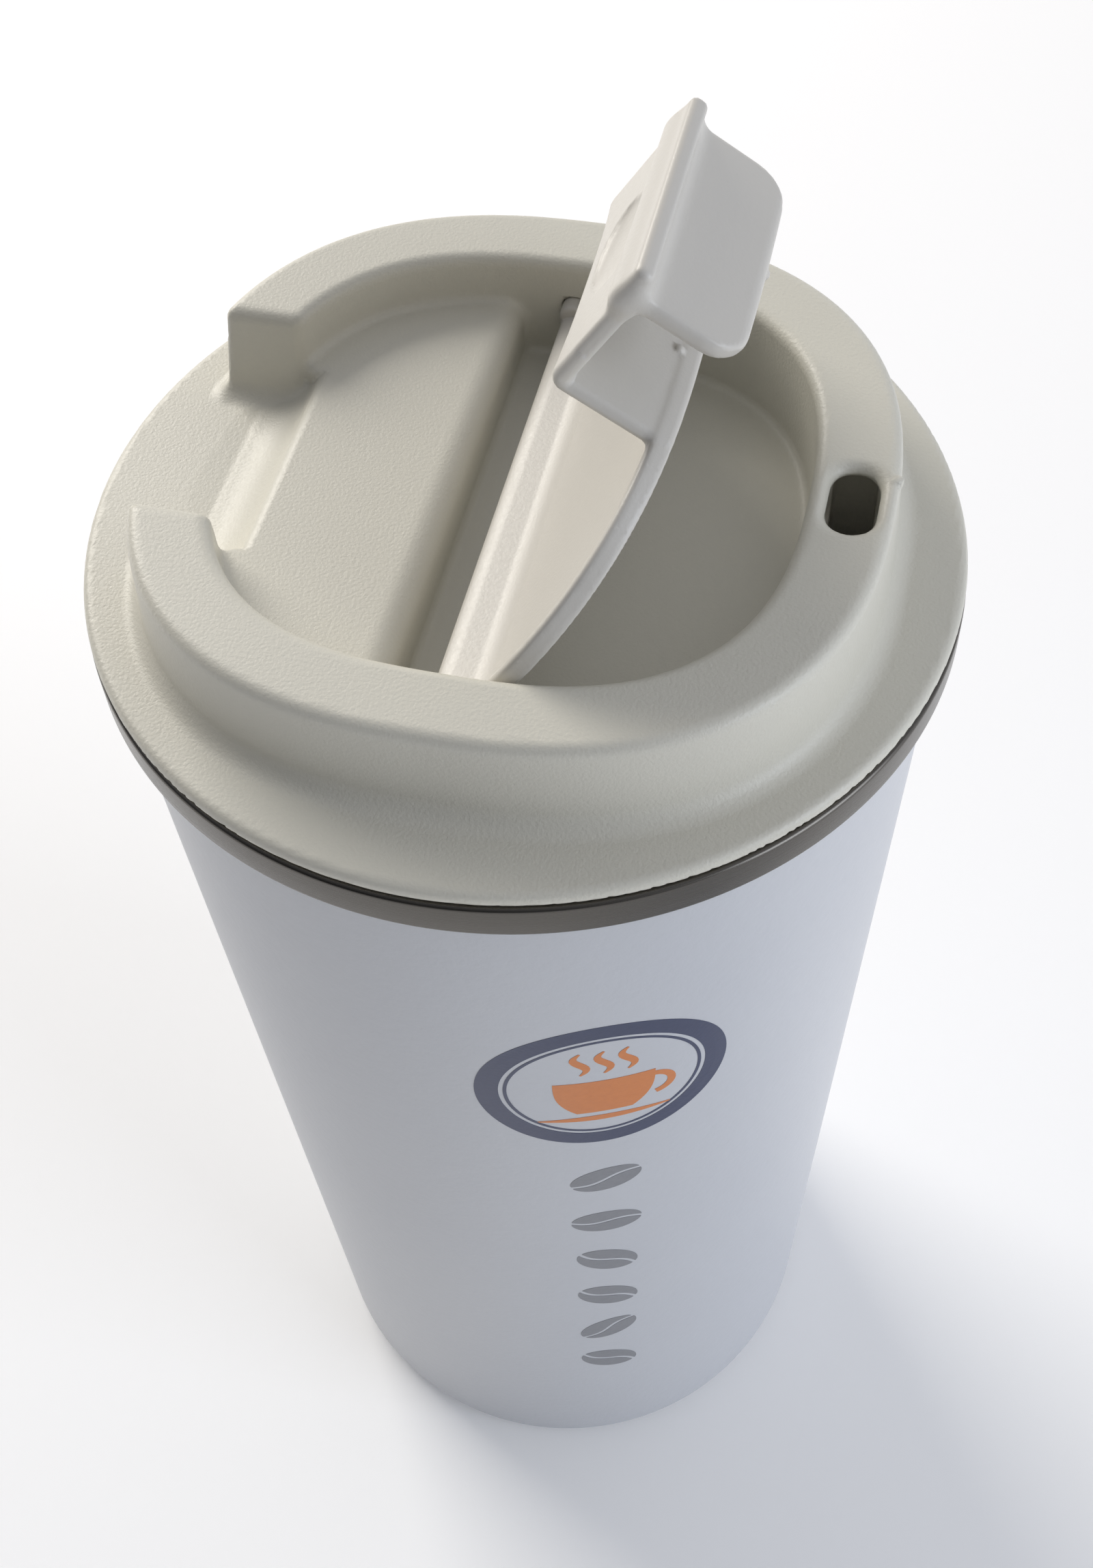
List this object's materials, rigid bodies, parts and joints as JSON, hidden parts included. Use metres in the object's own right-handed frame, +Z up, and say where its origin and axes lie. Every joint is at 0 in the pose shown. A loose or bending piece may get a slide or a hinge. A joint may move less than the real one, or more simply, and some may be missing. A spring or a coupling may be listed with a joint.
{
  "type": "insulated travel mug",
  "caption": "Vacuum-walled steel travel mug with a screw-in plastic lid, a hinged flip arm and a drinking hole.",
  "frame": {"origin": "centre of the foot, on the surface the mug stands on", "axes": "+Z up along the mug's axis, +X from the lid's axis towards the drinking hole, so the flap's hinge lies along Y"},
  "size_m": [0.0902, 0.0902, 0.2152],
  "materials": {
    "painted_shell": "satin white powder coat with a very fine orange peel",
    "bare_steel": "circumferentially brushed stainless steel",
    "liner_steel": "electropolished and lightly brushed stainless steel",
    "copper_foil": "bright thin reflective foil",
    "solder": "dull grey sealing solder",
    "foot_silicone": "matt grey silicone rubber",
    "silicone": "translucent milky silicone rubber",
    "lid_plastic": "satin warm grey moulded polypropylene with a fine sparkle",
    "flap_plastic": "satin cream-grey moulded polypropylene"
  },
  "bodies": {
    "mug": {"outer_shell": "painted_shell", "mouth_band": "bare_steel", "inner_liner": "liner_steel", "foil_wrap": "copper_foil", "outer_base": "liner_steel", "getter": "liner_steel", "vacuum_seal": "solder", "base_cover": "bare_steel", "foot_pad": "foot_silicone"},
    "gasket": {"lid_gasket": "silicone"},
    "lid": {"lid_top": "lid_plastic", "lid_plug": "lid_plastic", "sip_seal": "silicone"},
    "flap": {"flap": "flap_plastic", "flap_stopper": "silicone"}
  },
  "joints": [
    {"name": "lid_lift", "type": "slide", "parent": "mug", "child": "gasket", "axis": [0, 0, 1], "range_m": [0, 0.018]},
    {"name": "lid_turn", "type": "hinge", "parent": "gasket", "child": "lid", "pos_m": [0, 0, 0.168], "axis": [0, 0, 1], "range_deg": [0, 720]},
    {"name": "flap_hinge", "type": "hinge", "parent": "lid", "child": "flap", "pos_m": [-0.00085, 0, 0.17465], "axis": [0, -1, 0], "range_deg": [-57, 108]}
  ],
  "couplings": [
    {"joint": "lid_lift", "follows": "lid_turn", "m_per_rad": 0.0014324}
  ]
}
